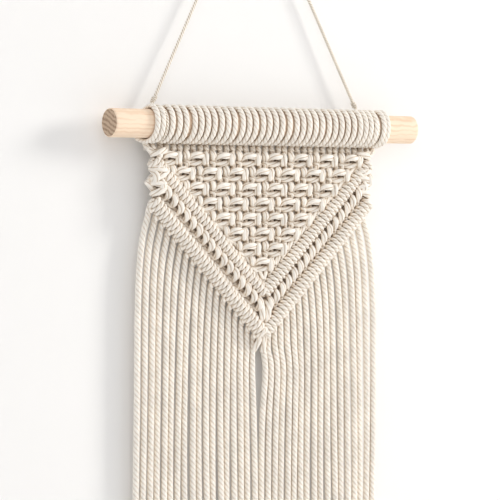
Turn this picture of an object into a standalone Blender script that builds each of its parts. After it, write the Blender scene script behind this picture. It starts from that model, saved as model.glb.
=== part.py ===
# Knotted cotton wall hanging on a round wooden rod, held up by a hanging cord.
#
# Metres, +Z up, +X along the rod, +Y towards the wall. The origin is the point where
# the hanging cord rests on its nail. Everything hangs below it.

import math

import bmesh
import bpy
from mathutils import Vector

# Driving sizes
rodRadius = 0.0127
rodLength = 0.330
rodEdge = 0.0012  # rounding of the rod's two end rims
rodShift = -0.0015  # the rod reaches a little further out on the left
cordDiameter = 0.0056  # the knotted cord
hangerDiameter = 0.003  # the thinner hanging cord
wrapThickness = 0.0046  # a knotted cord pressed flat on the rod
hitchCount = 18  # each hitch puts two cords on the rod
wrapSpace = 0.00151  # between two wraps of cord on the rod
endWrapSpace = 0.00015  # the same in the first and the last hitch, which are pulled tighter
hangDrop = 0.225  # nail to rod axis, downwards
hangReach = 0.020  # nail to rod axis, away from the wall
nailBend = 0.0035  # radius of the hanging cord's centre line over the nail
ridgeRadius = 0.0067
ridgeAngle = math.radians(45)  # slope of both ridges
ridgeBend = 0.008  # radius of a ridge's centre line at its point
innerStart = 0.0324  # rod axis to the inner ridge's two upper ends
outerStart = 0.067  # rod axis to the outer ridge's two upper ends
ridgeStep = 0.001  # the inner ridge ends this much nearer the middle than the outer one
edgeInset = 0.004  # how far the panel's sides stay inside the wrapped band
strandFirst = 0.008  # from the middle to the nearest strand, at the ridge
strandFirstLow = 0.0048  # the same, at the cut ends
strandSpace = 0.00087  # between two neighbouring strands, at the ridge
strandSpaceLow = 0.0018  # the same, at the cut ends
spreadDrop = 0.030  # the strands fan out over the first few centimetres below the ridge
strandSway = 0.0012  # how far a strand wanders along the wall
strandSwell = 0.0016  # and away from the wall
swayTurns = 1.25  # waves along a strand
swayStep = 0.35  # how far each wave runs ahead of its neighbour's, in radians
fringeDrop = 0.562  # rod axis to the longest strands' cut ends
fringeRise = 0.062  # the outer strands are cut this much higher
panelReach = 0.0055  # rod axis to the panel's middle, towards the wall
fringeReach = 0.0075  # panel's middle to the strands, which leave the ridge at its back
tailDrop = 0.0195  # rod axis to the line where the panel hangs

# Clearances and small shapes
gap = 0.0003  # between pieces that touch
turnGap = 0.0006  # between the rod and the hanging cord's turn, whose sides are chords
exitGap = 0.001  # between the outer ridge and a strand's top
tailRadius = 0.0025
neckThickness = 0.003  # the net's top edge
neckHeight = 0.004
tipTrim = 0.001  # taken off a point that sits in a ridge's bend
strandTaper = 0.3  # a strand's radius at its top, as a share of its full radius
taperLength = 0.003
turnStart = math.radians(55)  # where the hanging cord's end lies, above the rod's back
turnSteps = 14
bendSteps = 5
armSteps = 8
routeSteps = 14

# Worked out from the sizes above
rodAxis = Vector((0.0, -hangReach, -hangDrop))
wrapInner = rodRadius + gap
wrapOuter = wrapInner + wrapThickness
turnRadius = rodRadius + turnGap + hangerDiameter / 2
turnWidth = hangerDiameter + 2 * gap
hitchPitch = 2 * (cordDiameter + wrapSpace)
endHitchPitch = 2 * (cordDiameter + endWrapSpace)
bandWidth = (hitchCount - 2) * hitchPitch + 2 * endHitchPitch + 2 * turnWidth
panelHalfWidth = bandWidth / 2 - edgeInset
panelThickness = 2 * cordDiameter
panelY = rodAxis.y + panelReach
fringeY = panelY + fringeReach
hingeZ = rodAxis.z - tailDrop
netTop = hingeZ - tailRadius - gap
halfCount = hitchCount  # each hitch ends in two strands, so each half has as many as hitches
outerHalfWidth = strandFirst + (halfCount - 1) * (cordDiameter + strandSpace)
innerHalfWidth = outerHalfWidth - ridgeStep
fringeHalfWidth = strandFirstLow + (halfCount - 1) * (cordDiameter + strandSpaceLow)
ridgeOffset = (ridgeRadius + gap) / math.cos(ridgeAngle)
bendRise = ridgeBend * (1 / math.cos(ridgeAngle) - 1)
innerPoint = rodAxis.z - innerStart - innerHalfWidth * math.tan(ridgeAngle)
outerPoint = rodAxis.z - outerStart - outerHalfWidth * math.tan(ridgeAngle)

cottonColour = (0.86, 0.80, 0.70, 1.0)
hangerColour = (0.80, 0.74, 0.62, 1.0)
pineColour = (0.86, 0.66, 0.44, 1.0)


def clearScene():
    for old in list(bpy.data.objects):
        bpy.data.objects.remove(old, do_unlink=True)


def makeMaterial(name, colour, roughness):
    material = bpy.data.materials.new(name)
    material.use_nodes = True
    shader = material.node_tree.nodes["Principled BSDF"]
    shader.inputs["Base Color"].default_value = colour
    shader.inputs["Roughness"].default_value = roughness
    shader.inputs["Metallic"].default_value = 0.0
    return material


def addObject(name, data, place, colour, roughness):
    """Links data as one named piece at place, with a material of its own."""
    piece = bpy.data.objects.new(name, data)
    piece.location = place
    data.materials.append(makeMaterial(name, colour, roughness))
    bpy.context.scene.collection.objects.link(piece)
    return piece


def meshFrom(name, verts, faces):
    """A closed mesh with its normals outwards."""
    mesh = bpy.data.meshes.new(name)
    bm = bmesh.new()
    made = [bm.verts.new(v) for v in verts]
    for face in faces:
        bm.faces.new([made[i] for i in face])
    bmesh.ops.recalc_face_normals(bm, faces=bm.faces)
    bm.to_mesh(mesh)
    bm.free()
    return mesh


def tubeFrom(name, points, radius, sides, radii=None):
    """A round cord through points, with closed ends."""
    curve = bpy.data.curves.new(name, "CURVE")
    curve.dimensions = "3D"
    curve.bevel_depth = radius
    curve.bevel_resolution = sides
    curve.use_fill_caps = True
    spline = curve.splines.new("POLY")
    spline.points.add(len(points) - 1)
    for i, point in enumerate(points):
        spline.points[i].co = (*point, 1.0)
        spline.points[i].radius = radii[i] if radii else 1.0
    spline.use_smooth = True
    return curve


def smoothLine(points, spacing):
    """Points at even spacing on a smooth curve through the given points."""
    ends = [2 * points[0] - points[1]] + points + [2 * points[-1] - points[-2]]
    fine = []
    for a, b, c, d in zip(ends, ends[1:], ends[2:], ends[3:]):
        for k in range(24):
            t = k / 24
            fine.append(
                0.5 * (2 * b + (c - a) * t + (2 * a - 5 * b + 4 * c - d) * t * t
                       + (3 * b - a - 3 * c + d) * t * t * t)
            )
    fine.append(points[-1].copy())
    lengths = [0.0]
    for a, b in zip(fine, fine[1:]):
        lengths.append(lengths[-1] + (b - a).length)
    count = max(2, round(lengths[-1] / spacing))
    line, j = [], 0
    for k in range(count + 1):
        want = lengths[-1] * k / count
        while j < len(lengths) - 2 and lengths[j + 1] < want:
            j += 1
        share = (want - lengths[j]) / max(lengths[j + 1] - lengths[j], 1e-9)
        line.append(fine[j].lerp(fine[j + 1], min(share, 1.0)))
    return line


def makeDowel():
    """The rod, round, with softened end rims."""
    bm = bmesh.new()
    bmesh.ops.create_cone(
        bm, cap_ends=True, segments=40, radius1=rodRadius, radius2=rodRadius, depth=rodLength
    )
    rims = [e for e in bm.edges if abs(e.verts[0].co.z - e.verts[1].co.z) < 1e-6]
    bmesh.ops.bevel(bm, geom=rims, offset=rodEdge, segments=2, profile=0.5, affect="EDGES")
    mesh = bpy.data.meshes.new("dowel")
    bm.to_mesh(mesh)
    bm.free()
    mesh.shade_smooth()
    mesh.set_sharp_from_angle(angle=math.radians(50))
    piece = addObject("dowel", mesh, rodAxis + Vector((rodShift, 0, 0)), pineColour, 0.55)
    piece.rotation_euler = (0, math.radians(90), 0)


def hitchOutline():
    """A hitch seen along the rod: (angle, outer radius), with the cords' tail pointing to
    the panel's hinge line at the lower back."""
    tail = Vector((panelReach, -tailDrop))
    middle = math.atan2(tail.y, tail.x)
    spread = math.asin(tailRadius / tail.length)
    foot = spread + math.radians(1.5)
    ringSteps = 20
    outline = []
    for k in range(ringSteps + 1):
        outline.append((middle + foot + (math.tau - 2 * foot) * k / ringSteps, wrapOuter))
    for share in (-1.0, -0.8, -0.4, 0.0, 0.4, 0.8, 1.0):
        turn = share * spread
        beside = tail.length * math.sin(turn)
        reach = math.sqrt(max(tailRadius**2 - beside**2, 0.0))
        outline.append((middle + turn, tail.length * math.cos(turn) + reach))
    return outline


def makeHitch(name, middleX, width):
    """One hitch: two cords wrapped round the rod, with their ends leaving at the back."""
    outline = hitchOutline()
    verts = []
    for x in (-width / 2, width / 2):
        for angle, radius in outline:
            for r in (wrapInner, radius):
                verts.append((x, r * math.cos(angle), r * math.sin(angle)))
    n = len(outline)
    faces = []
    for k in range(n):
        a, b = 2 * k, 2 * ((k + 1) % n)
        c, d = a + 2 * n, b + 2 * n
        faces += [(a, b, d, c), (a + 1, c + 1, d + 1, b + 1)]
        faces += [(a, a + 1, b + 1, b), (c, d, d + 1, c + 1)]
    mesh = meshFrom(name, verts, faces)
    mesh.shade_smooth()
    mesh.set_sharp_from_angle(angle=math.radians(40))
    addObject(name, mesh, rodAxis + Vector((middleX, 0, 0)), cottonColour, 0.9)


def makeHitches():
    """All hitches from left to right. Returns where the hanging cord goes round the rod."""
    x = -bandWidth / 2
    ties = []
    for i in range(hitchCount):
        pitch = endHitchPitch if i in (0, hitchCount - 1) else hitchPitch
        makeHitch(f"hitch_{i + 1:02d}", x + pitch / 2, pitch - gap)
        x += pitch
        if i in (0, hitchCount - 2):
            ties.append(x + turnWidth / 2 - gap / 2)
            x += turnWidth
    return ties


def cordTurn(tieX):
    """The hanging cord's turn round the rod, from its end at the top to the back."""
    points = []
    for k in range(turnSteps + 1):
        angle = turnStart + (math.tau - turnStart) * k / turnSteps
        across = Vector((0, math.cos(angle), math.sin(angle)))
        points.append(rodAxis + Vector((tieX, 0, 0)) + turnRadius * across)
    return points


def cordLeg(tieX, side):
    """One leg's route, from the back of the rod up to the nail, less its two ends."""
    start = rodAxis + Vector((tieX, turnRadius, 0))
    clear = start + Vector((0, 0.0004, wrapOuter - 0.006))
    bend = Vector((side * nailBend, 0, hangerDiameter / 2 - 0.6 * nailBend))
    shares = (0.0, 0.02, 0.06, 0.15, 0.3, 0.5, 0.7, 0.9, 1.0)
    return [clear.lerp(bend, share) for share in shares]


def makeHangingCord(ties):
    """One turn round the rod at each tie, and two legs that meet over the nail."""
    left, right = (cordTurn(x) for x in ties)
    top = Vector((0, 0, hangerDiameter / 2))
    legs = [left[-1]] + cordLeg(ties[0], -1) + [top] + cordLeg(ties[1], 1)[::-1] + [right[-1]]
    line = left[:-1] + smoothLine(legs, 3 * hangerDiameter) + right[-2::-1]
    curve = tubeFrom("hanging_cord", line, hangerDiameter / 2, 2)
    addObject("hanging_cord", curve, (0, 0, 0), hangerColour, 0.9)


def ridgeLine(pointZ, halfWidth):
    """A ridge's centre line, left to right: two straight arms joined by a round bend."""
    centreZ = pointZ + ridgeBend / math.cos(ridgeAngle)
    bend = []
    for k in range(bendSteps + 1):
        angle = ridgeAngle * (1 - 2 * k / bendSteps)
        bend.append((-ridgeBend * math.sin(angle), centreZ - ridgeBend * math.cos(angle)))
    startX, startZ = bend[-1]
    endZ = pointZ + halfWidth * math.tan(ridgeAngle)
    right = []
    for k in range(1, armSteps + 1):
        share = k / armSteps
        right.append((startX + (halfWidth - startX) * share, startZ + (endZ - startZ) * share))
    left = [(-x, z) for x, z in right[::-1]]
    return left + bend + right


def makeRidge(name, pointZ, halfWidth):
    """A thick row of half hitches along a V, as one round tube."""
    line = [Vector((x, panelY, z)) for x, z in ridgeLine(pointZ, halfWidth)]
    curve = tubeFrom(name, line, ridgeRadius, 3)
    addObject(name, curve, (0, 0, 0), cottonColour, 0.9)


def makeNet():
    """The triangle of square knots, with a thin top edge that hangs from the hitches."""
    tip = innerPoint + ridgeOffset
    cut = innerPoint + bendRise + ridgeRadius + gap + tipTrim
    levels = (
        (netTop, neckThickness / 2),
        (netTop - neckHeight, panelThickness / 2),
        (cut, panelThickness / 2),
    )
    verts = []
    for z, half in levels:
        x = (z - tip) / math.tan(ridgeAngle)
        verts += [(-x, -half, z), (x, -half, z), (x, half, z), (-x, half, z)]
    faces = [(0, 1, 2, 3), (8, 9, 10, 11)]
    for base in (0, 4):
        for k in range(4):
            a, b = base + k, base + (k + 1) % 4
            faces.append((a, b, b + 4, a + 4))
    mesh = meshFrom("square_knot_net", verts, faces)
    addObject("square_knot_net", mesh, (0, panelY, 0), cottonColour, 0.9)


def makeChain():
    """The V of square knots between the two ridges."""
    rise = panelHalfWidth * math.tan(ridgeAngle)
    upper = innerPoint - ridgeOffset
    lower = outerPoint + ridgeOffset
    cut = outerPoint + bendRise + ridgeRadius + gap + tipTrim
    cutX = (cut - lower) / math.tan(ridgeAngle)
    outline = [
        (-panelHalfWidth, upper + rise), (0, upper), (panelHalfWidth, upper + rise),
        (panelHalfWidth, lower + rise), (cutX, cut), (-cutX, cut),
        (-panelHalfWidth, lower + rise),
    ]
    half = panelThickness / 2
    n = len(outline)
    verts = [(x, y, z) for y in (-half, half) for x, z in outline]
    faces = [(0, 1, 5, 6), (1, 2, 3, 4), (1, 4, 5)]
    faces += [tuple(i + n for i in face) for face in faces]
    faces += [(k, (k + 1) % n, (k + 1) % n + n, k + n) for k in range(n)]
    mesh = meshFrom("knot_chain", verts, faces)
    addObject("knot_chain", mesh, (0, panelY, 0), cottonColour, 0.9)


def strandRoute(index, topX, lowX):
    """A strand's centre line from the end of its taper down to its cut end, as seen from its
    top: it fans out a little and wanders in a long low wave, in step with its neighbours."""
    offset = (ridgeRadius + exitGap) / math.cos(ridgeAngle)
    topZ = outerPoint + abs(topX) * math.tan(ridgeAngle) - offset
    lowZ = rodAxis.z - fringeDrop + fringeRise * abs(lowX) / fringeHalfWidth
    drop = topZ - lowZ - taperLength
    route = []
    for k in range(routeSteps + 1):
        t = k / routeSteps
        wave = math.tau * swayTurns * t + swayStep * index
        spread = 1 - math.exp(-drop * t / spreadDrop)
        x = (lowX - topX) * spread + strandSway * t * math.sin(wave)
        y = strandSwell * t * math.cos(wave)
        route.append(Vector((x, y, -taperLength - drop * t)))
    return Vector((topX, fringeY, topZ)), route


def makeStrand(index, topX, lowX):
    """One fringe cord. Its own origin is its top, where it leaves the outer ridge."""
    top, route = strandRoute(index, topX, lowX)
    line = [Vector((0, 0, 0))] + smoothLine(route, 3 * cordDiameter)
    radii = [strandTaper] + [1.0] * (len(line) - 1)
    name = f"strand_{index + 1:02d}"
    curve = tubeFrom(name, line, cordDiameter / 2, 2, radii)
    addObject(name, curve, top, cottonColour, 0.9)


def makeFringe():
    """All fringe cords from left to right."""
    for i in range(2 * halfCount):
        side = -1 if i < halfCount else 1
        out = (halfCount - 1 - i if i < halfCount else i - halfCount) / (halfCount - 1)
        topX = side * (strandFirst + (outerHalfWidth - strandFirst) * out)
        lowX = side * (strandFirstLow + (fringeHalfWidth - strandFirstLow) * out)
        makeStrand(i, topX, lowX)


def main():
    clearScene()
    makeDowel()
    ties = makeHitches()
    makeHangingCord(ties)
    makeNet()
    makeRidge("inner_ridge", innerPoint, innerHalfWidth)
    makeChain()
    makeRidge("outer_ridge", outerPoint, outerHalfWidth)
    makeFringe()


main()
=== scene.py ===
import math
import random

import bpy
import numpy as np
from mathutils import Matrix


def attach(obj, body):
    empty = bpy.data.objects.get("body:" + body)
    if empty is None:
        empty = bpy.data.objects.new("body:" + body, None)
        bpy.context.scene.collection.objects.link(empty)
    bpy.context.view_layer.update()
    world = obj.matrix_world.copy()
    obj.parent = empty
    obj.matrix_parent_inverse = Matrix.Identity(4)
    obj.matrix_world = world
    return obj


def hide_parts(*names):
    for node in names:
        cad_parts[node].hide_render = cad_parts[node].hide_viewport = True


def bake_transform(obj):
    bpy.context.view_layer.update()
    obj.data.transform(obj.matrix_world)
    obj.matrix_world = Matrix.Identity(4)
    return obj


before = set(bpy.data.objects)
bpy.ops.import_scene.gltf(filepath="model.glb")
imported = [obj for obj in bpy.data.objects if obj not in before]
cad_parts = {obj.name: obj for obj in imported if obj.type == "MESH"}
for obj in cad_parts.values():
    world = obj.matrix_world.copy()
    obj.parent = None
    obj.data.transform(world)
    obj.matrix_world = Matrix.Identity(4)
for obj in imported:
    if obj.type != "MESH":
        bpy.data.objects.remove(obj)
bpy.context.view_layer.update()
print("frame loaded")

# A knotted cotton wall hanging on a pine rod, in metres. X runs along the rod, Y into the wall
# and Z up, and the nail that holds the hanging is at the origin.
tau = 2 * math.pi
root2 = math.sqrt(2)
rodMiddle = np.array([0.0, -0.020, -0.225])
panelY = -0.0145  # the panel's middle plane
fringeY = -0.007  # the strands hang closer to the wall
innerPoint = -0.3744  # the two ridges' points, on the middle line
outerPoint = -0.410


studio = {
    "cameraPlace": (-1.8157, -2.5695, -0.3355),
    "cameraTurn": 35.2,  # degrees round to the left of the hanging
    "lens": 252,
    "wallY": 0.0058,
    "floorZ": -0.95,
    "roomSize": (8, 6, 2.5),  # across, out from the wall, and up from the nail
    "wallColour": (0.86, 0.855, 0.85, 1),
    "aim": (0, 0, -0.35),  # where the lights point
    "lights": {  # place, size, power and colour
        "key": ((2.5, -1.4, 0.6), 0.9, 54, (1.0, 0.97, 0.93)),
        "back": ((1.2, 2.6, 0.3), 2.2, 14, (1.0, 0.99, 0.97)),
        "fill": ((-1.6, -2.6, 0.8), 2.2, 20, (0.95, 0.97, 1.0)),
    },
    "airColour": (1.0, 0.99, 0.98, 1),
    "airLight": 0.637,
}


def addCamera():
    data = bpy.data.cameras.new("camera")
    data.lens = studio["lens"]
    data.sensor_width = 36
    data.clip_start = 0.05
    data.clip_end = 50
    camera = bpy.data.objects.new("camera", data)
    camera.location = studio["cameraPlace"]
    camera.rotation_euler = (math.radians(90), 0, -math.radians(studio["cameraTurn"]))
    bpy.context.scene.collection.objects.link(camera)
    bpy.context.scene.camera = camera


addCamera()
print("camera made")


# twisted cotton rope: three plies, pressed where it is knotted

cotton = {
    "diameter": 0.0057,
    "layLength": 0.0138,  # one full turn of the three plies
    "sides": 24,
    "step": 0.0012,
    "groove": 0.26,  # how deep the lines between the plies are, as a share of the radius
    "crown": (0.99, 0.94, 0.865),
    # the next two colours are painted shade: in the lines between the plies, and deep between the cords
    "shade": (0.60, 0.46, 0.33),
    "hollowShade": (0.38, 0.25, 0.14),  # deep between the cords
    "roughness": 0.85,
    "sheen": 0.25,
}

# the plies lie straighter in a tight knot
knottedCotton = {**cotton, "layLength": 0.042, "sides": 18, "step": 0.0014}
coiledCotton = {**cotton, "sides": 18, "step": 0.0011}
looseYarn = {**cotton, "diameter": 0.0009, "sides": 5, "groove": 0.1, "step": 0.001}

thinCotton = {
    "diameter": 0.003,
    "layLength": 0.0085,
    "sides": 15,
    "step": 0.0009,
    "groove": 0.28,
    "crown": (0.95, 0.90, 0.82),
    # the next two colours are painted shade: in the lines between the plies, and deep between the cords
    "shade": (0.56, 0.45, 0.33),
    "hollowShade": (0.5, 0.38, 0.26),
    "roughness": 0.85,
    "sheen": 0.2,
}

# where a rope lies when it is unrolled: a strip, with its two end discs below and above
unrolling = {"margin": 0.03, "discWide": 0.3, "discHigh": 0.009, "discLow": 0.012, "discRise": 0.975}


def runAlong(line):
    return np.concatenate([[0], np.cumsum(np.linalg.norm(np.diff(line, axis=0), axis=1))])


def smoothPath(points, step):
    # a smooth curve through the points, cut into even steps
    p = np.asarray(points, float)
    ends = np.vstack([2 * p[0] - p[1], p, 2 * p[-1] - p[-2]])
    cuts = 14
    t = np.linspace(0, 1, cuts, endpoint=False)[:, None]
    parts = []
    for a, b, c, d in zip(ends, ends[1:], ends[2:], ends[3:]):
        bend = (2 * a - 5 * b + 4 * c - d) * t**2 + (3 * b - a - 3 * c + d) * t**3
        parts.append(0.5 * (2 * b + (c - a) * t + bend))
    fine = np.vstack(parts + [p[-1:]])
    run = runAlong(fine)
    count = max(4, round(run[-1] / step))
    at = np.linspace(0, run[-1], count + 1)
    return np.stack([np.interp(at, run, fine[:, k]) for k in range(3)], 1)


def unit(v):
    return v / np.maximum(np.linalg.norm(v, axis=-1, keepdims=True), 1e-12)


def sidesAlong(line):
    # a side vector for each ring that doesn't spin round the line
    tangent = unit(np.gradient(line, axis=0))
    side = np.empty_like(line)
    last = np.array([0.31, -0.9, 0.2])
    for i, t in enumerate(tangent):
        last = last - t * (last @ t)
        last = last / np.linalg.norm(last)
        side[i] = last
    return side, np.cross(tangent, side)


def plyRadius(angle, groove):
    # three full plies pressed together, with a narrow line between each two
    lobe = (angle + tau / 6) % (tau / 3) - tau / 6
    return 1 - groove * (np.abs(lobe) / (tau / 6)) ** 4


def ropeArrays(line, rope, start=0.0, press=None, width=None):
    # one rope along an even line: points, faces, and the yarn coordinates of each point
    sides, rings = rope["sides"], len(line)
    radius = rope["diameter"] / 2
    run = runAlong(line)
    side, over = sidesAlong(line)
    twist = start - tau * run / rope["layLength"]
    index = np.arange(sides) * tau / sides
    shape = plyRadius(index, rope["groove"])
    angle = index[None, :] + twist[:, None]
    scale = radius * (np.ones(rings) if width is None else width)
    reach = shape[None, :] * scale[:, None]
    offset = reach[..., None] * (
        np.cos(angle)[..., None] * side[:, None] + np.sin(angle)[..., None] * over[:, None]
    )
    if press is not None:
        push, flat, wide = press
        pushed = (offset * push[:, None]).sum(-1, keepdims=True) * push[:, None]
        offset = pushed * flat + (offset - pushed) * wide
    points = line[:, None] + offset
    along = np.broadcast_to(run[:, None], angle.shape)
    yarn = np.stack([radius * np.cos(angle), radius * np.sin(angle), along], -1)
    depth = np.broadcast_to((shape - shape.min()) / (shape.max() - shape.min()), angle.shape)
    a = np.arange(rings - 1)[:, None] * sides + np.arange(sides)[None, :]
    b = np.arange(rings - 1)[:, None] * sides + (np.arange(sides) + 1)[None, :] % sides
    quads = np.stack([a, b, b + sides, a + sides], -1).reshape(-1, 4)
    caps = [list(range(sides))[::-1], list(range((rings - 1) * sides, rings * sides))]
    margin = unrolling["margin"]
    right, up = 1 / sides, (1 - 2 * margin) / (rings - 1)
    u = np.arange(sides)[None, :] * right + np.zeros((rings - 1, 1))
    v = margin + np.arange(rings - 1)[:, None] * up + np.zeros((1, sides))
    corners = [np.stack(p, -1) for p in ((u, v), (u + right, v), (u + right, v + up), (u, v + up))]
    discX = 0.5 + unrolling["discWide"] * np.cos(index)
    discY = unrolling["discLow"] + unrolling["discHigh"] * np.sin(index)
    disc = np.stack([discX, discY], -1)
    return {
        "unrolled": np.stack(corners, 2).reshape(-1, 2),
        "discs": [disc[::-1], disc + (0, unrolling["discRise"])],
        "points": points.reshape(-1, 3),
        "quads": quads,
        "caps": caps,
        "yarn": yarn.reshape(-1, 3),
        "depth": depth.reshape(-1),
    }


def meshFromRopes(name, ropes, material):
    points = np.vstack([r["points"] for r in ropes]).astype(np.float32)
    loops, starts, strips, total, base = [], [], [], 0, 0
    margin = unrolling["margin"]
    for n, r in enumerate(ropes):
        for part in [r["unrolled"]] + r["discs"]:
            strips.append((part * (1 - 2 * margin, 1) + (margin + n, 0)) / (len(ropes), 1))
        quads = r["quads"] + base
        loops.append(quads.ravel())
        starts.append(total + 4 * np.arange(len(quads)))
        total += 4 * len(quads)
        for cap in r["caps"]:
            loops.append(np.array(cap) + base)
            starts.append(np.array([total]))
            total += len(cap)
        base += len(r["points"])
    starts = np.concatenate(starts)
    mesh = bpy.data.meshes.new(name)
    mesh.vertices.add(len(points))
    mesh.vertices.foreach_set("co", points.ravel())
    mesh.loops.add(total)
    mesh.loops.foreach_set("vertex_index", np.concatenate(loops).astype(np.int32))
    mesh.polygons.add(len(starts))
    mesh.polygons.foreach_set("loop_start", starts.astype(np.int32))
    mesh.update(calc_edges=True)
    mesh.shade_smooth()
    unrolled = mesh.uv_layers.new(name="OFBake")
    unrolled.data.foreach_set("uv", np.vstack(strips).astype(np.float32).ravel())
    yarns = mesh.attributes.new("yarn", "FLOAT_VECTOR", "POINT")
    yarns.data.foreach_set("vector", np.vstack([r["yarn"] for r in ropes]).astype(np.float32).ravel())
    depths = mesh.attributes.new("depth", "FLOAT", "POINT")
    depths.data.foreach_set("value", np.concatenate([r["depth"] for r in ropes]).astype(np.float32))
    mesh.materials.append(material)
    piece = bpy.data.objects.new(name, mesh)
    bpy.context.scene.collection.objects.link(piece)
    return piece


def newMaterial(name, roughness):
    material = bpy.data.materials.new(name)
    material.use_nodes = True
    shader = material.node_tree.nodes["Principled BSDF"]
    shader.inputs["Roughness"].default_value = roughness
    return material, material.node_tree.nodes, material.node_tree.links, shader


def ropeMaterial(name, rope):
    material, nodes, links, shader = newMaterial(name, rope["roughness"])
    shader.inputs["Sheen Weight"].default_value = rope["sheen"]
    shader.inputs["Sheen Roughness"].default_value = 0.5
    shader.inputs["Specular IOR Level"].default_value = 0.15
    depth = nodes.new("ShaderNodeAttribute")
    depth.attribute_name = "depth"
    yarn = nodes.new("ShaderNodeAttribute")
    yarn.attribute_name = "yarn"
    # fine yarns run along the rope, so their pattern is stretched that way
    stretch = nodes.new("ShaderNodeMapping")
    stretch.inputs["Scale"].default_value = (1900, 1900, 260)
    links.new(yarn.outputs["Vector"], stretch.inputs["Vector"])
    fibre = nodes.new("ShaderNodeTexNoise")
    fibre.inputs["Scale"].default_value = 1
    fibre.inputs["Detail"].default_value = 3
    links.new(stretch.outputs["Vector"], fibre.inputs["Vector"])
    place = nodes.new("ShaderNodeTexCoord")
    cloud = nodes.new("ShaderNodeTexNoise")
    cloud.inputs["Scale"].default_value = 60
    cloud.inputs["Detail"].default_value = 2
    links.new(place.outputs["Object"], cloud.inputs["Vector"])
    # painted shade: the lines between the plies get the shade colour, and the plies' crowns get the cotton's
    # own colour
    ramp = nodes.new("ShaderNodeValToRGB")
    ramp.color_ramp.elements[0].position = 0.0
    ramp.color_ramp.elements[0].color = (*rope["shade"], 1)
    ramp.color_ramp.elements[1].position = 0.62
    ramp.color_ramp.elements[1].color = (*rope["crown"], 1)
    links.new(depth.outputs["Fac"], ramp.inputs["Fac"])
    streak = nodes.new("ShaderNodeMapRange")
    streak.inputs["From Min"].default_value = 0.25
    streak.inputs["From Max"].default_value = 0.75
    streak.inputs["To Min"].default_value = 0.80
    streak.inputs["To Max"].default_value = 1.10
    links.new(fibre.outputs["Fac"], streak.inputs["Value"])
    patch = nodes.new("ShaderNodeMapRange")
    patch.inputs["From Min"].default_value = 0.3
    patch.inputs["From Max"].default_value = 0.7
    patch.inputs["To Min"].default_value = 0.93
    patch.inputs["To Max"].default_value = 1.04
    links.new(cloud.outputs["Fac"], patch.inputs["Value"])
    both = nodes.new("ShaderNodeMath")
    both.operation = "MULTIPLY"
    links.new(streak.outputs["Result"], both.inputs[0])
    links.new(patch.outputs["Result"], both.inputs[1])
    colour = nodes.new("ShaderNodeVectorMath")
    colour.operation = "SCALE"
    links.new(ramp.outputs["Color"], colour.inputs[0])
    links.new(both.outputs["Value"], colour.inputs["Scale"])
    # painted shade: the cotton is painted browner where cords lie close together, where less light reaches
    shadeMask = nodes.new("ShaderNodeAmbientOcclusion")
    shadeMask.samples = 6
    shadeMask.inputs["Distance"].default_value = 0.008
    hollowShade = nodes.new("ShaderNodeValToRGB")
    hollowShade.color_ramp.elements[0].position = 0.05
    hollowShade.color_ramp.elements[0].color = (*rope["hollowShade"], 1)
    hollowShade.color_ramp.elements[1].position = 0.70
    hollowShade.color_ramp.elements[1].color = (1, 1, 1, 1)
    between = hollowShade.color_ramp.elements.new(0.36)
    between.color = (0.97, 0.905, 0.82, 1)
    links.new(shadeMask.outputs["AO"], hollowShade.inputs["Fac"])
    shadedColour = nodes.new("ShaderNodeVectorMath")
    shadedColour.operation = "MULTIPLY"
    links.new(colour.outputs["Vector"], shadedColour.inputs[0])
    links.new(hollowShade.outputs["Color"], shadedColour.inputs[1])
    links.new(shadedColour.outputs["Vector"], shader.inputs["Base Color"])
    bump = nodes.new("ShaderNodeBump")
    bump.inputs["Strength"].default_value = 0.8
    bump.inputs["Distance"].default_value = 0.0004
    links.new(fibre.outputs["Fac"], bump.inputs["Height"])
    links.new(bump.outputs["Normal"], shader.inputs["Normal"])
    return material


cottonLook = ropeMaterial("twistedCotton", cotton)
thinLook = ropeMaterial("thinTwistedCotton", thinCotton)


# hanging cord: one turn round the rod at each end, two legs over the nail

hanger = {
    "tieX": (-0.11556, 0.11556),
    "turnRadius": 0.0148,
    "turnStart": 55,  # degrees up from the wall's side, where a cut end lies
    "turnSteps": 14,
    "nailTop": 0.0015,
    "nailBend": 0.0035,
    "legClear": (0, 0.0004, 0.0116),  # from the turn's end to the foot of a leg
    "legShares": (0.0, 0.02, 0.06, 0.15, 0.3, 0.5, 0.7, 0.9, 1.0),
    "knotRadius": 0.0019,  # the small knot that closes each turn
    "knotRise": 0.0045,
    "knotPitch": 0.0017,
    "knotTurns": 3,
    "knotSteps": 10,
    "knotThread": 0.0016,
}


def hangerTurn(tieX):
    points = []
    start, steps = hanger["turnStart"], hanger["turnSteps"]
    for k in range(steps + 1):
        angle = math.radians(start + (360 - start) * k / steps)
        ring = hanger["turnRadius"] * np.array([0, math.cos(angle), math.sin(angle)])
        points.append(rodMiddle + (tieX, 0, 0) + ring)
    return points


def hangerLeg(tieX, side):
    clear = rodMiddle + (tieX, hanger["turnRadius"], 0) + hanger["legClear"]
    bend = np.array([side * hanger["nailBend"], 0, hanger["nailTop"] - 0.6 * hanger["nailBend"]])
    return [clear + (bend - clear) * share for share in hanger["legShares"]]


def closingKnot(tieX, side):
    # a few turns of thinner thread round the foot of a leg
    leg = hangerLeg(tieX, side)
    points = []
    steps = hanger["knotSteps"]
    for k in range(hanger["knotTurns"] * steps + 1):
        turn = tau * k / steps
        rise = hanger["knotPitch"] * k / steps
        foot = leg[1] + unit(leg[-1] - leg[1]) * (hanger["knotRise"] + rise)
        ring = np.array([math.cos(turn), math.sin(turn), 0]) * hanger["knotRadius"]
        points.append(foot + ring)
    thread = {**thinCotton, "diameter": hanger["knotThread"]}
    return ropeArrays(smoothPath(points, thread["step"]), thread)


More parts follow.
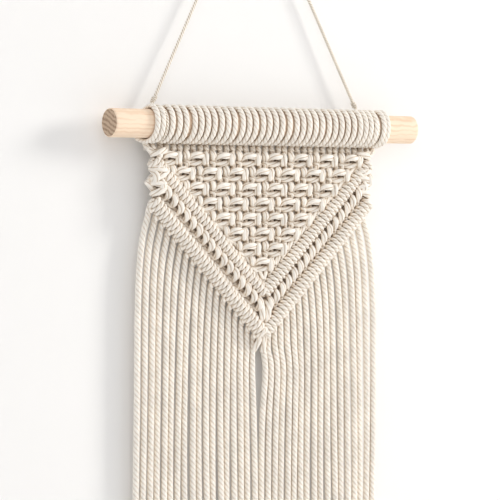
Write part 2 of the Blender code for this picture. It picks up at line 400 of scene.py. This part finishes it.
def addHangingCord():
    left, right = (hangerTurn(x) for x in hanger["tieX"])
    top = [np.array([0, 0, hanger["nailTop"]])]
    legs = hangerLeg(hanger["tieX"][0], -1) + top + hangerLeg(hanger["tieX"][1], 1)[::-1]
    line = smoothPath(left + legs + right[::-1], thinCotton["step"])
    knots = [closingKnot(x, side) for x, side in zip(hanger["tieX"], (-1, 1))]
    piece = meshFromRopes("hangingCord", [ropeArrays(line, thinCotton)] + knots, thinLook)
    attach(piece, "hanger")
    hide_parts("hanging_cord")


addHangingCord()


# fringe: 36 cords that hang from the back of the outer ridge

fringe = {
    "half": 18,
    "first": 0.0054,  # from the middle to the nearest strand, at the ridge
    "last": 0.11799,  # and to the outermost one
    "firstLow": 0.0038,  # the same two at the cut ends
    "lastLow": 0.1296,
    "roots": ((0.0036, 0.0062), (0.0058, 0.0086)),  # behind the ridge, back and down from its middle
    "topDrop": 0.01089,  # below the ridge's middle
    "drop": 0.562,  # from the rod to the longest strands' ends
    "rise": 0.062,  # the outermost strands are cut this much higher
    "taper": 0.003,
    "spreadDrop": 0.030,  # the strands fan out over this height
    "sway": 0.0012,
    "swell": 0.0016,
    "swayTurns": 1.25,
    "swayStep": 0.35,
    "steps": 28,
    "wander": 0.0006,  # each strand's own small irregularity
    "parting": {-1: (0.0014, 4), 1: (0.0046, 7)},  # how far the middle strands part, over how many
    "partingFrom": 0.015,
    "partingDrop": 0.020,
    "endRings": 5,
    "endWidth": 1.10,
    "tufts": 22,
    "tuftFoot": 0.003,  # the loose yarns start this far above the cut
    "tuftSpread": (0.2, 0.95),
    "tuftLean": 0.0007,
    "tuftLengths": (0.0008, 0.0032),
    "bend": (0.003, -0.009),  # a height span at a strand's top, by the ridge
}


def strandSpots():
    # each strand's side, its place from the middle, and its X at the ridge and at the cut end
    half = fringe["half"]
    for i in range(2 * half):
        side = -1 if i < half else 1
        place = half - 1 - i if i < half else i - half
        out = place / (half - 1)
        topX = side * (fringe["first"] + (fringe["last"] - fringe["first"]) * out)
        lowX = side * (fringe["firstLow"] + (fringe["lastLow"] - fringe["firstLow"]) * out)
        yield i, side, place, topX, lowX


def parting(side, place, z):
    # the strands part below the point and close again further down
    widest, count = fringe["parting"][side]
    u = max(0, outerPoint - fringe["partingFrom"] - z) / fringe["partingDrop"]
    return side * widest * max(0, 1 - place / count) * u * math.exp(1 - u)


def strandPath(i, side, place, topX, lowX, rng):
    ridgeZ = outerPoint + abs(topX)
    topZ = ridgeZ - fringe["topDrop"]
    lowZ = rodMiddle[2] - fringe["drop"] + fringe["rise"] * abs(lowX) / fringe["lastLow"]
    drop = topZ - lowZ - fringe["taper"]
    path = [np.array([topX, panelY + back, ridgeZ - down]) for back, down in fringe["roots"]]
    own = [rng.uniform(-1, 1) for _ in range(4)]
    for k in range(fringe["steps"] + 1):
        t = k / fringe["steps"]
        wave = tau * fringe["swayTurns"] * t + fringe["swayStep"] * i
        spread = 1 - math.exp(-drop * t / fringe["spreadDrop"])
        stray = fringe["wander"] * min(1, 6 * t)
        x = topX + (lowX - topX) * spread + fringe["sway"] * t * math.sin(wave)
        y = fringeY + fringe["swell"] * t * math.cos(wave)
        x += stray * (own[0] * math.sin(5 * t + 9 * own[1]) + own[2] * 0.5)
        y += stray * 1.6 * math.sin(4 * t + 9 * own[3])
        z = topZ - fringe["taper"] - drop * t
        path.append(np.array([x + parting(side, place, z), y, z]))
    return path


def frayedEnd(tip, rng):
    # loose yarns below the cut
    tufts = []
    for _ in range(fringe["tufts"]):
        turn = rng.uniform(0, tau)
        around = np.array([math.cos(turn), math.sin(turn), 0])
        out = rng.uniform(*fringe["tuftSpread"]) * cotton["diameter"] / 2
        foot = tip + out * around + (0, 0, fringe["tuftFoot"])
        lean = around * rng.uniform(0, fringe["tuftLean"])
        end = foot + lean - (0, 0, fringe["tuftFoot"] + rng.uniform(*fringe["tuftLengths"]))
        line = smoothPath([foot, (foot + end) / 2 + lean * 0.3, end], looseYarn["step"])
        tufts.append(ropeArrays(line, looseYarn))
    return tufts


def addFringe():
    rng = random.Random(7)
    for i, side, place, topX, lowX in strandSpots():
        line = smoothPath(strandPath(i, side, place, topX, lowX, rng), cotton["step"])
        width = np.ones(len(line))
        width[-fringe["endRings"]:] = fringe["endWidth"]
        rope = ropeArrays(line, cotton, start=rng.uniform(0, tau), width=width)
        number = f"{i + 1:02d}"
        piece = meshFromRopes("fringeCord" + number, [rope] + frayedEnd(line[-1], rng), cottonLook)
        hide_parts("strand_" + number)
        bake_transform(piece)


addFringe()
print("fringe made")


# hitches: two wraps in front, a bar over the two ends at the back

hitch = {
    "count": 18,
    "pitch": 0.01422,
    "endPitch": 0.0115,
    "turnWidth": 0.0036,  # room for the hanging cord's turn between an end hitch and the next
    "wrapRadius": 0.0153,
    "barRadius": 0.0203,
    "grip": 0.0012,  # a leg stands off this much where it bends
    "legHalf": 0.0028,  # from a hitch's middle to a leg behind the rod
    "endLow": -0.0225,  # where the legs end, below the rod's middle
    "entryHalf": 0.004,  # the strands enter the net in pairs, this far from the pair's middle
    "entryPitch": 0.0142,
    "flat": 0.78,  # pressed on to the rod
    "wide": 0.93,
    "holdLow": -0.0195,  # the cord is round below this height, and pressed above it
    "holdRise": 0.004,
    "bend": (-0.0165, -0.0225),  # a height span where the ends come down to the panel
    "leanTop": 0.0024,  # how far a wrap leans along the rod between its front and its top
    "leanLow": -0.0008,
    # extra space after some wraps, in millimetres; the last five sit close
    "openings": {
        3: 0.5, 5: 1.8, 9: 0.5, 12: 1.4, 15: 0.9, 19: 0.9, 20: 0.8, 25: 0.5,
        31: -1, 32: -1.2, 33: -1.2, 34: -1.2, 35: -1.2,
    },
}


def hitchMiddles():
    count = hitch["count"]
    width = (count - 2) * hitch["pitch"] + 2 * hitch["endPitch"] + 2 * hitch["turnWidth"]
    x, middles = -width / 2, []
    for i in range(count):
        pitch = hitch["endPitch"] if i in (0, count - 1) else hitch["pitch"]
        middles.append((x + pitch / 2, pitch))
        x += pitch
        if i in (0, count - 2):
            x += hitch["turnWidth"]
    return middles


def strandX(n):
    # the n-th strand from the middle, where it enters the net
    return hitch["entryPitch"] * ((n + 1) // 2) + (-1) ** n * hitch["entryHalf"]


def aroundRod(angle, radius, x):
    turn = math.radians(angle)
    return rodMiddle + (x, radius * math.cos(turn), radius * math.sin(turn))


def hitchPath(frontLeft, frontRight, endLeft, endRight):
    # up from both ends behind the rod, over it, down in front, and together in the bar
    wrap, bar, grip = hitch["wrapRadius"], hitch["barRadius"], hitch["grip"]
    middle = (frontLeft + frontRight) / 2
    half = []
    for front, end, side in ((frontLeft, endLeft, -1), (frontRight, endRight, 1)):
        top, low = front + hitch["leanTop"], front + hitch["leanLow"]
        back = middle + side * hitch["legHalf"]
        leg = [
            np.array([end, panelY, rodMiddle[2] + hitch["endLow"]]),
            np.array([end, panelY + grip, rodMiddle[2] + hitch["endLow"] + 0.004]),
            aroundRod(-50, wrap + grip, back),
            aroundRod(-25, wrap, back),
            aroundRod(5, wrap, back + 0.25 * (top - back)),
            aroundRod(45, wrap, back + 0.7 * (top - back)),
            aroundRod(90, wrap, top),
            aroundRod(120, wrap, front + 0.7 * hitch["leanTop"]),
            aroundRod(150, wrap, front + 0.35 * hitch["leanTop"]),
            aroundRod(180, wrap, front),
            aroundRod(210, wrap, front + 0.3 * hitch["leanLow"]),
            aroundRod(240, wrap, front + 0.7 * hitch["leanLow"]),
            aroundRod(270, wrap, low),
            aroundRod(297, wrap + grip, low + 0.3 * (middle + side * 0.006 - low)),
            aroundRod(318, wrap + 3 * grip, middle + side * 0.0052),
            aroundRod(330, bar, middle + side * 0.0026),
        ]
        half.append(leg)
    return half[0] + [aroundRod(333, bar + 0.0004, middle)] + half[1][::-1]


def wrapFronts(middles):
    # where each of the 36 wraps crosses the rod's front, with some standing a little apart
    fronts = []
    for middle, pitch in middles:
        fronts += [middle - pitch / 4, middle + pitch / 4]
    steps = np.diff(fronts) * 1000
    for after, extra in hitch["openings"].items():
        steps[after - 1] += extra
    steps *= (fronts[-1] - fronts[0]) * 1000 / steps.sum()
    return fronts[0] + np.concatenate([[0], np.cumsum(steps)]) / 1000


def addHitches():
    rng = random.Random(3)
    fronts = wrapFronts(hitchMiddles())
    half = hitch["count"]
    for i in range(half):
        ends = []
        for k in (2 * i, 2 * i + 1):
            n = half - 1 - k if k < half else k - half
            ends.append((-1 if k < half else 1) * strandX(n))
        path = hitchPath(fronts[2 * i], fronts[2 * i + 1], ends[0], ends[1])
        line = smoothPath(path, cotton["step"])
        push = line - rodMiddle
        push[:, 0] = 0
        hold = np.clip((line[:, 2] - rodMiddle[2] - hitch["holdLow"]) / hitch["holdRise"], 0, 1)
        hold = hold[:, None, None]
        flat, wide = 1 - (1 - hitch["flat"]) * hold, 1 + (hitch["wide"] - 1) * hold
        rope = ropeArrays(line, cotton, start=rng.uniform(0, tau), press=(unit(push), flat, wide))
        piece = meshFromRopes(f"hitchCord{i + 1:02d}", [rope], cottonLook)
        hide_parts(f"hitch_{i + 1:02d}")
        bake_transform(piece)


addHitches()
print("hitches made")


# ridges: rows of double half hitches on a core cord

ridge = {
    "step": 0.00656,  # between two strands along X
    "first": 0.0033,  # from the middle line to the nearest one
    "press": (0.80, 0.96),  # across a coil, and through it
    "coreEnd": 17.6,  # the core cords end here, counted in strands
    # the outer cores' ends: across, back and down from the point
    "tails": ((0.0024, 0.0008, 0.006), (0.0040, 0.0030, 0.0105), (0.0051, 0.0074, 0.0165)),
    "chainCores": (0.0084, 0.0126, 0.0168),  # the cords behind the chain, from the inner ridge
    "chainCoreBack": 0.0026,
    "chainCoreShort": 0.0075,
    "edgeKnots": (  # bars stacked at each edge: up from the rod's middle, and how far each leans
        (-0.0245, 0.003), (-0.0395, -0.002), (-0.0460, 0.003), (-0.0525, -0.001), (-0.0590, 0.003),
    ),
}

# one loop of the chain, from the inner ridge's middle: outwards, up and to the front
chainLoop = (
    (0.0030, -0.0072, 0.0012), (0.0026, -0.0090, 0.0042), (0.0024, -0.0118, 0.0056),
    (0.0024, -0.0148, 0.0044), (0.0028, -0.0172, 0.0004), (0.0014, -0.0196, -0.0030),
)

# one double half hitch, in millimetres: along the arm towards the point, outwards, to the front
ridgeTurns = (
    (-4.4, -8.4, 0.2), (-3.0, -5.4, -1.6), (-2.5, -1.0, -4.0), (-2.4, 3.2, -2.8),
    (-2.35, 4.5, 0.8), (-2.35, 2.7, 4.0), (-2.3, -1.3, 4.7), (-2.2, -4.3, 1.9),
    (-1.4, -3.8, -2.3), (0.6, 0.2, -4.2), (2.2, 3.6, -2.5), (2.35, 4.5, 0.8), (2.35, 2.7, 4.0),
    (2.3, -1.3, 4.7), (2.2, -4.3, 1.8), (1.7, -3.7, -2.4), (1.0, 0.6, -4.3), (0.6, 5.6, -2.8),
)


def armFrame(side):
    # down along the arm, outwards in the panel's plane, and to the front
    return np.array([[-side, 0, -1], [side, 0, -1], [0, -root2, 0]]) / root2


def ridgeTurn(pointZ, side, x):
    origin = np.array([side * x, panelY, pointZ + x])
    return [origin + np.array(p) / 1000 @ armFrame(side) for p in ridgeTurns]


def armLine(pointZ, side, outward, front, last):
    # a cord that runs along an arm, inside the hitches or behind the chain
    along = np.linspace(-last, 0.002, 12) * root2
    origin = np.array([0, panelY, pointZ])
    return [origin + np.array([a, outward, front]) @ armFrame(side) for a in along]


# net, chain and ridges: each strand runs from the hitches to the fringe

net = {
    "firstRow": -0.027,
    "rowPitch": 0.01335,
    "unit": 0.0284,
    "rows": 8,
    "top": -0.0205,  # an edge strand that is in no square knot starts here
    "workingFrom": 9,  # a knot's working cords are this far from its middle, in millimetres
    "knotReach": 10.3,
    "tight": 0.93,  # the cords are thinner where a knot grips them
    "full": 1.07,
    "shownFrom": 0.001,  # they fill out from here to the front
    "shownOver": 0.004,
}

# a square knot's two working cords and its two straight ones: right, up and forward from
# its middle, in millimetres
rightCord = (
    (10.2, 6.7, -0.4), (10.8, 4.0, -0.8), (9.0, 1.0, 0.4), (5.4, -0.4, 2.6), (1.4, 0.0, 5.0),
    (-2.6, 0.4, 6.1), (-6.0, 0.2, 4.8), (-8.0, -1.3, 1.0), (-8.8, -4.2, -1.8),
    (-7.4, -6.9, -0.4), (-4.4, -7.1, 1.4), (-0.8, -6.6, 2.0), (3.5, -5.6, 1.6),
    (7.5, -4.8, 0.4), (10.0, -5.4, -0.4), (10.2, -6.7, 0),
)
leftCord = (
    (-10.2, 6.7, 0), (-11.6, 4.8, -0.8), (-12.9, 2.8, 2.0), (-13.4, 0.5, 4.3), (-12.8, -1.7, 2.4),
    (-9.8, -2.4, -2.4),
    (-3.0, -1.2, -5.0), (2.5, -0.4, -5.0), (6.6, 0.2, -2.2), (7.4, 0.8, 2.0), (6.0, -0.4, 5.6),
    (5.0, -2.8, 6.7), (5.4, -5.2, 5.4), (6.0, -6.2, 2.0), (4.8, -5.8, -3.0), (0, -5.4, -5.2),
    (-5.5, -5.2, -5.0), (-10.6, -4.6, -3.2), (-12.6, -5.6, -1.0), (-10.2, -6.7, 0),
)
fillCord = ((4.0, 6.7, 0), (3.2, 3.0, -0.8), (2.9, 0.0, -1.2), (3.2, -3.0, -1.4), (4.0, -6.7, 0))


def knotPart(points, middleX, middleZ, flip=1):
    return [
        np.array([middleX + flip * x / 1000, panelY - y / 1000, middleZ + z / 1000])
        for x, z, y in points
    ]


def netPath(x):
    # one strand's way down through the rows of square knots
    path = []
    for row in range(net["rows"]):
        count = net["rows"] - row
        z = rodMiddle[2] + net["firstRow"] - row * net["rowPitch"]
        for k in range(count):
            middle = (k - (count - 1) / 2) * net["unit"]
            off = round((x - middle) * 1000, 1)
            if abs(off) > net["knotReach"]:
                continue
            if off > net["workingFrom"]:
                part = knotPart(rightCord, middle, z)
            elif off < -net["workingFrom"]:
                part = knotPart(leftCord, middle, z)
            else:
                part = knotPart(fillCord, middle, z, 1 if off > 0 else -1)
            path += part if not path else part[1:]
    return path


# one bar of the stack that closes the chain at the hanging's edge: across from the middle
# line, up as a share of its lean, and to the front
edgeBar = (
    (0.1050, 0.4, -0.002), (0.1062, 0.6, 0.0026), (0.1105, 0.3, 0.005), (0.1150, -0.3, 0.0044),
    (0.1176, -0.7, 0.0012), (0.1166, -0.8, -0.0022), (0.1120, -0.4, -0.0034),
)

# the loop on the middle line, from one point to the other: across, up and to the front
middleBend = (
    (0.0020, -0.0060, -0.002), (0.0030, -0.0086, 0.0024), (0.0034, -0.0120, 0.0042),
    (0.0032, -0.0165, 0.0046), (0.0028, -0.0215, 0.0036), (0.0024, -0.0255, 0.0005),
    (0.0020, -0.0300, -0.002),
)


def edgeKnot(side, z, lean):
    height = rodMiddle[2] + z
    return [np.array([side * x, panelY - front, height + lean * up]) for x, up, front in edgeBar]


def middleLoop(side):
    return [np.array([side * x, panelY - front, innerPoint + z]) for x, z, front in middleBend]


def chainPath(top, low, side, crossing):
    # out from behind the inner ridge, over the front in a short upright loop, and back in
    x, z = side * crossing, innerPoint + crossing
    loop = [np.array([x + side * out, panelY - front, z + up]) for out, up, front in chainLoop]
    return [top] + loop + [low]


def panelRopes():
    # each piece's ropes: the points of a path, and the arm along which a coil is pressed
    netRopes, innerRopes, chainRopes, outerRopes = [], [], [], []
    for side in (-1, 1):
        arm = armFrame(side)[0]
        for n in range(fringe["half"]):
            x = side * strandX(n)
            crossing = ridge["first"] + n * ridge["step"]
            inner = ridgeTurn(innerPoint, side, crossing)
            outer = ridgeTurn(outerPoint, side, crossing)
            path = netPath(x)
            if not path:
                path = [np.array([x, panelY, rodMiddle[2] + net["top"]])]
                inner = inner[1:]
            netRopes.append((path + inner[:1], None))
            innerRopes.append((inner, arm))
            chainRopes.append((chainPath(inner[-1], outer[0], side, crossing), None))
            outerRopes.append((outer + [outer[-1] + (0, 0.001, -0.003)], arm))
        last = ridge["first"] + ridge["coreEnd"] * ridge["step"]
        innerRopes.append((armLine(innerPoint, side, 0, 0, last), None))
        # the outer ridge's cores cross at the point and turn into the two middle strands
        tail = [np.array([-side * x, panelY + back, outerPoint - z]) for x, back, z in ridge["tails"]]
        outerRopes.append((armLine(outerPoint, side, 0, 0, last) + tail, None))
        for outward in ridge["chainCores"]:
            shorter = last - ridge["chainCoreShort"]
            core = armLine(innerPoint, side, outward, -ridge["chainCoreBack"], shorter)
            chainRopes.append((core, None))
        for z, lean in ridge["edgeKnots"]:
            chainRopes.append((edgeKnot(side, z, lean), None))
        chainRopes.append((middleLoop(side), None))
    return (
        ("netCords", "square_knot_net", netRopes),
        ("innerRidgeCords", "inner_ridge", innerRopes),
        ("chainCords", "knot_chain", chainRopes),
        ("outerRidgeCords", "outer_ridge", outerRopes),
    )


def panelRope(path, arm, start):
    if arm is not None:
        line = smoothPath(path, coiledCotton["step"])
        press = (np.tile(arm, (len(line), 1)), *ridge["press"])
        return ropeArrays(line, coiledCotton, start, press)
    # full where the cord shows, thinner where it is gripped
    line = smoothPath(path, knottedCotton["step"])
    shown = np.clip((panelY - line[:, 1] - net["shownFrom"]) / net["shownOver"], 0, 1)
    width = net["tight"] + (net["full"] - net["tight"]) * shown
    return ropeArrays(line, knottedCotton, start, width=width)


def addPanel():
    rng = random.Random(11)
    for name, node, ropes in panelRopes():
        made = [panelRope(path, arm, rng.uniform(0, tau)) for path, arm in ropes]
        piece = meshFromRopes(name, made, cottonLook)
        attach(piece, "panel")
        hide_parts(node)
        print(name, len(piece.data.polygons), "faces")


addPanel()


# pine rod

rod = {
    "radius": 0.0127,
    "length": 0.330,
    "shift": -0.0015,  # it sticks out a little further on the left
    "edge": 0.0012,  # radius of the ends' rounded rims
    "edgeSteps": 5,
    "lengthSteps": 60,
    "sides": 96,
    "ringSlant": -24,
    # light and dark wood, how the grain is stretched, where dark turns to light, and the rings' share
    "sideLook": ((0.93, 0.75, 0.58), (0.80, 0.56, 0.38), (16, 520, 520), (0.20, 0.52), 0.25),
    "endLook": ((0.56, 0.42, 0.30), (0.27, 0.17, 0.11), (30, 500, 500), (0.25, 0.62), 0.35),
}


def pineMaterial(name, look):
    light, dark, scale, turn, rings = look
    material, nodes, links, shader = newMaterial(name, 0.6)
    shader.inputs["Specular IOR Level"].default_value = 0.3
    place = nodes.new("ShaderNodeTexCoord")
    stretch = nodes.new("ShaderNodeMapping")
    stretch.inputs["Scale"].default_value = scale
    links.new(place.outputs["Object"], stretch.inputs["Vector"])
    grain = nodes.new("ShaderNodeTexNoise")
    grain.inputs["Scale"].default_value = 1
    grain.inputs["Detail"].default_value = 4
    grain.inputs["Distortion"].default_value = 0.6
    links.new(stretch.outputs["Vector"], grain.inputs["Vector"])
    # growth rings: nearly flat sheets that slant across the rod
    slant = nodes.new("ShaderNodeMapping")
    slant.inputs["Rotation"].default_value = (math.radians(rod["ringSlant"]), 0, 0.01)
    links.new(place.outputs["Object"], slant.inputs["Vector"])
    sheets = nodes.new("ShaderNodeTexWave")
    sheets.bands_direction = "Z"
    sheets.inputs["Scale"].default_value = 78
    sheets.inputs["Distortion"].default_value = 4.5
    sheets.inputs["Detail"].default_value = 2
    links.new(slant.outputs["Vector"], sheets.inputs["Vector"])
    mixed = nodes.new("ShaderNodeMix")
    mixed.inputs["Factor"].default_value = rings
    links.new(grain.outputs["Fac"], mixed.inputs["A"])
    links.new(sheets.outputs["Fac"], mixed.inputs["B"])
    ramp = nodes.new("ShaderNodeValToRGB")
    ramp.color_ramp.elements[0].position = turn[0]
    ramp.color_ramp.elements[0].color = (*dark, 1)
    ramp.color_ramp.elements[1].position = turn[1]
    ramp.color_ramp.elements[1].color = (*light, 1)
    links.new(mixed.outputs["Result"], ramp.inputs["Fac"])
    links.new(ramp.outputs["Color"], shader.inputs["Base Color"])
    bump = nodes.new("ShaderNodeBump")
    bump.inputs["Strength"].default_value = 0.3
    bump.inputs["Distance"].default_value = 0.0003
    links.new(grain.outputs["Fac"], bump.inputs["Height"])
    links.new(bump.outputs["Normal"], shader.inputs["Normal"])
    return material


def addRod():
    radius, edge, sides = rod["radius"], rod["edge"], rod["sides"]
    half = rod["length"] / 2
    end = [(-half, radius * share) for share in (0.3, 0.6, 0.85)]
    for k in range(rod["edgeSteps"] + 1):
        turn = math.pi / 2 * k / rod["edgeSteps"]
        end.append((-half + edge - edge * math.cos(turn), radius - edge + edge * math.sin(turn)))
    steps = rod["lengthSteps"]
    long = [(-half + edge + 2 * (half - edge) * k / steps, radius) for k in range(1, steps)]
    profile = end + long + [(-x, r) for x, r in end[::-1]]
    verts, faces = [], []
    for x, r in profile:
        for k in range(sides):
            a = tau * k / sides
            verts.append((x, r * math.cos(a), r * math.sin(a)))
    rings = len(profile)
    for i in range(rings - 1):
        for k in range(sides):
            a, b = i * sides + k, i * sides + (k + 1) % sides
            faces.append((a, a + sides, b + sides, b))
    verts += [(-half, 0, 0), (half, 0, 0)]
    first, last, base = rings * sides, rings * sides + 1, (rings - 1) * sides
    for k in range(sides):
        faces.append((first, k, (k + 1) % sides))
        faces.append((last, base + (k + 1) % sides, base + k))
    mesh = bpy.data.meshes.new("pineRod")
    mesh.from_pydata(verts, [], faces)
    mesh.shade_smooth()
    mesh.materials.append(pineMaterial("pine", rod["sideLook"]))
    mesh.materials.append(pineMaterial("pineEnd", rod["endLook"]))
    for face in mesh.polygons:
        if abs(face.center.x) > half - edge * 0.5 and abs(face.normal.x) > 0.9:
            face.material_index = 1
    piece = bpy.data.objects.new("pineRod", mesh)
    piece.location = rodMiddle + (rod["shift"], 0, 0)
    bpy.context.scene.collection.objects.link(piece)
    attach(piece, "rod")
    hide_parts("dowel")


addRod()
print("rod made")


# wall, floor and light


def wallMaterial():
    material, nodes, links, shader = newMaterial("paleWall", 0.9)
    shader.inputs["Base Color"].default_value = studio["wallColour"]
    place = nodes.new("ShaderNodeTexCoord")
    grit = nodes.new("ShaderNodeTexNoise")
    grit.inputs["Scale"].default_value = 45
    grit.inputs["Detail"].default_value = 5
    links.new(place.outputs["Object"], grit.inputs["Vector"])
    bump = nodes.new("ShaderNodeBump")
    bump.inputs["Strength"].default_value = 0.15
    bump.inputs["Distance"].default_value = 0.002
    links.new(grit.outputs["Fac"], bump.inputs["Height"])
    links.new(bump.outputs["Normal"], shader.inputs["Normal"])
    # from behind the wall is clear, and it lets light in, so that the hanging's back shows
    side = nodes.new("ShaderNodeNewGeometry")
    ray = nodes.new("ShaderNodeLightPath")
    seeThrough = nodes.new("ShaderNodeMath")
    seeThrough.operation = "MAXIMUM"
    links.new(side.outputs["Backfacing"], seeThrough.inputs[0])
    links.new(ray.outputs["Is Shadow Ray"], seeThrough.inputs[1])
    clear = nodes.new("ShaderNodeBsdfTransparent")
    either = nodes.new("ShaderNodeMixShader")
    links.new(seeThrough.outputs["Value"], either.inputs["Fac"])
    links.new(shader.outputs["BSDF"], either.inputs[1])
    links.new(clear.outputs["BSDF"], either.inputs[2])
    links.new(either.outputs["Shader"], nodes["Material Output"].inputs["Surface"])
    return material


def addPlane(name, corners, material):
    mesh = bpy.data.meshes.new(name)
    mesh.from_pydata(corners, [], [(0, 1, 2, 3)])
    mesh.materials.append(material)
    piece = bpy.data.objects.new(name, mesh)
    bpy.context.scene.collection.objects.link(piece)


def addLight(name, place, size, power, colour):
    data = bpy.data.lights.new(name, "AREA")
    data.energy = power
    data.size = size
    data.color = colour
    lamp = bpy.data.objects.new(name, data)
    lamp.location = place
    aim = np.array(studio["aim"], float) - place
    flat = math.hypot(aim[0], aim[1])
    lamp.rotation_euler = (math.atan2(flat, -aim[2]), 0, math.atan2(aim[1], aim[0]) - math.pi / 2)
    bpy.context.scene.collection.objects.link(lamp)


def addStudio():
    wall, floor = studio["wallY"], studio["floorZ"]
    across, out, up = studio["roomSize"]
    left, right = -across / 2, across / 2
    look = wallMaterial()
    addPlane("wall", [(left, wall, floor), (right, wall, floor), (right, wall, up), (left, wall, up)], look)
    addPlane(
        "floor", [(left, -out, floor), (right, -out, floor), (right, wall, floor), (left, wall, floor)], look
    )
    for name, light in studio["lights"].items():
        addLight(name, *light)
    world = bpy.data.worlds.new("room")
    world.use_nodes = True
    air = world.node_tree.nodes["Background"]
    air.inputs["Color"].default_value = studio["airColour"]
    air.inputs["Strength"].default_value = studio["airLight"]
    bpy.context.scene.world = world
    bpy.context.scene.view_settings.view_transform = "Standard"


addStudio()
print("studio made")
